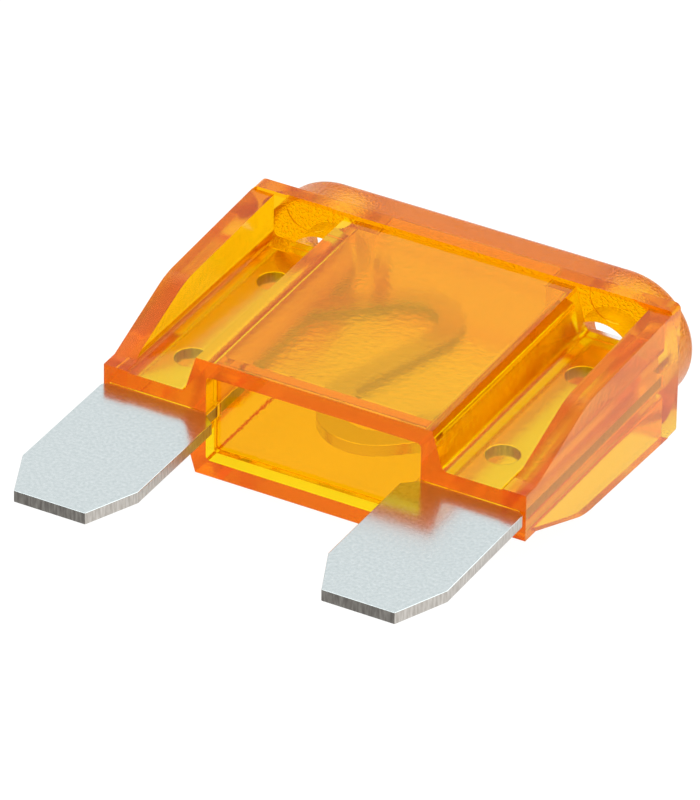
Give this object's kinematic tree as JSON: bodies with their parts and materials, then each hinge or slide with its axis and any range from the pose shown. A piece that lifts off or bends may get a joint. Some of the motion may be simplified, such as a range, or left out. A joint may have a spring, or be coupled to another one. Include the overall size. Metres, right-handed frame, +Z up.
{
  "type": "automotive blade fuse",
  "caption": "Heavy-duty automotive blade fuse: a stamped metal element with flat blades and an S-shaped link, in a transparent amber housing with a window box, side walls and a rounded cap.",
  "frame": {"origin": "middle of the bounding box in X and Y, on the surface that the flange lies on", "axes": "+X across the two blades, +Y from the blade tips to the cap, +Z up through the thickness"},
  "size_m": [0.0292, 0.0352, 0.0093],
  "materials": {
    "housing": "transparent amber moulding, fine grain on the cap",
    "fuse_element": "satin plated sheet",
    "end_plug": "transparent amber moulding"
  },
  "bodies": {
    "root": {"housing": "housing", "fuse_element": "fuse_element", "end_plug": "end_plug"}
  },
  "joints": []
}
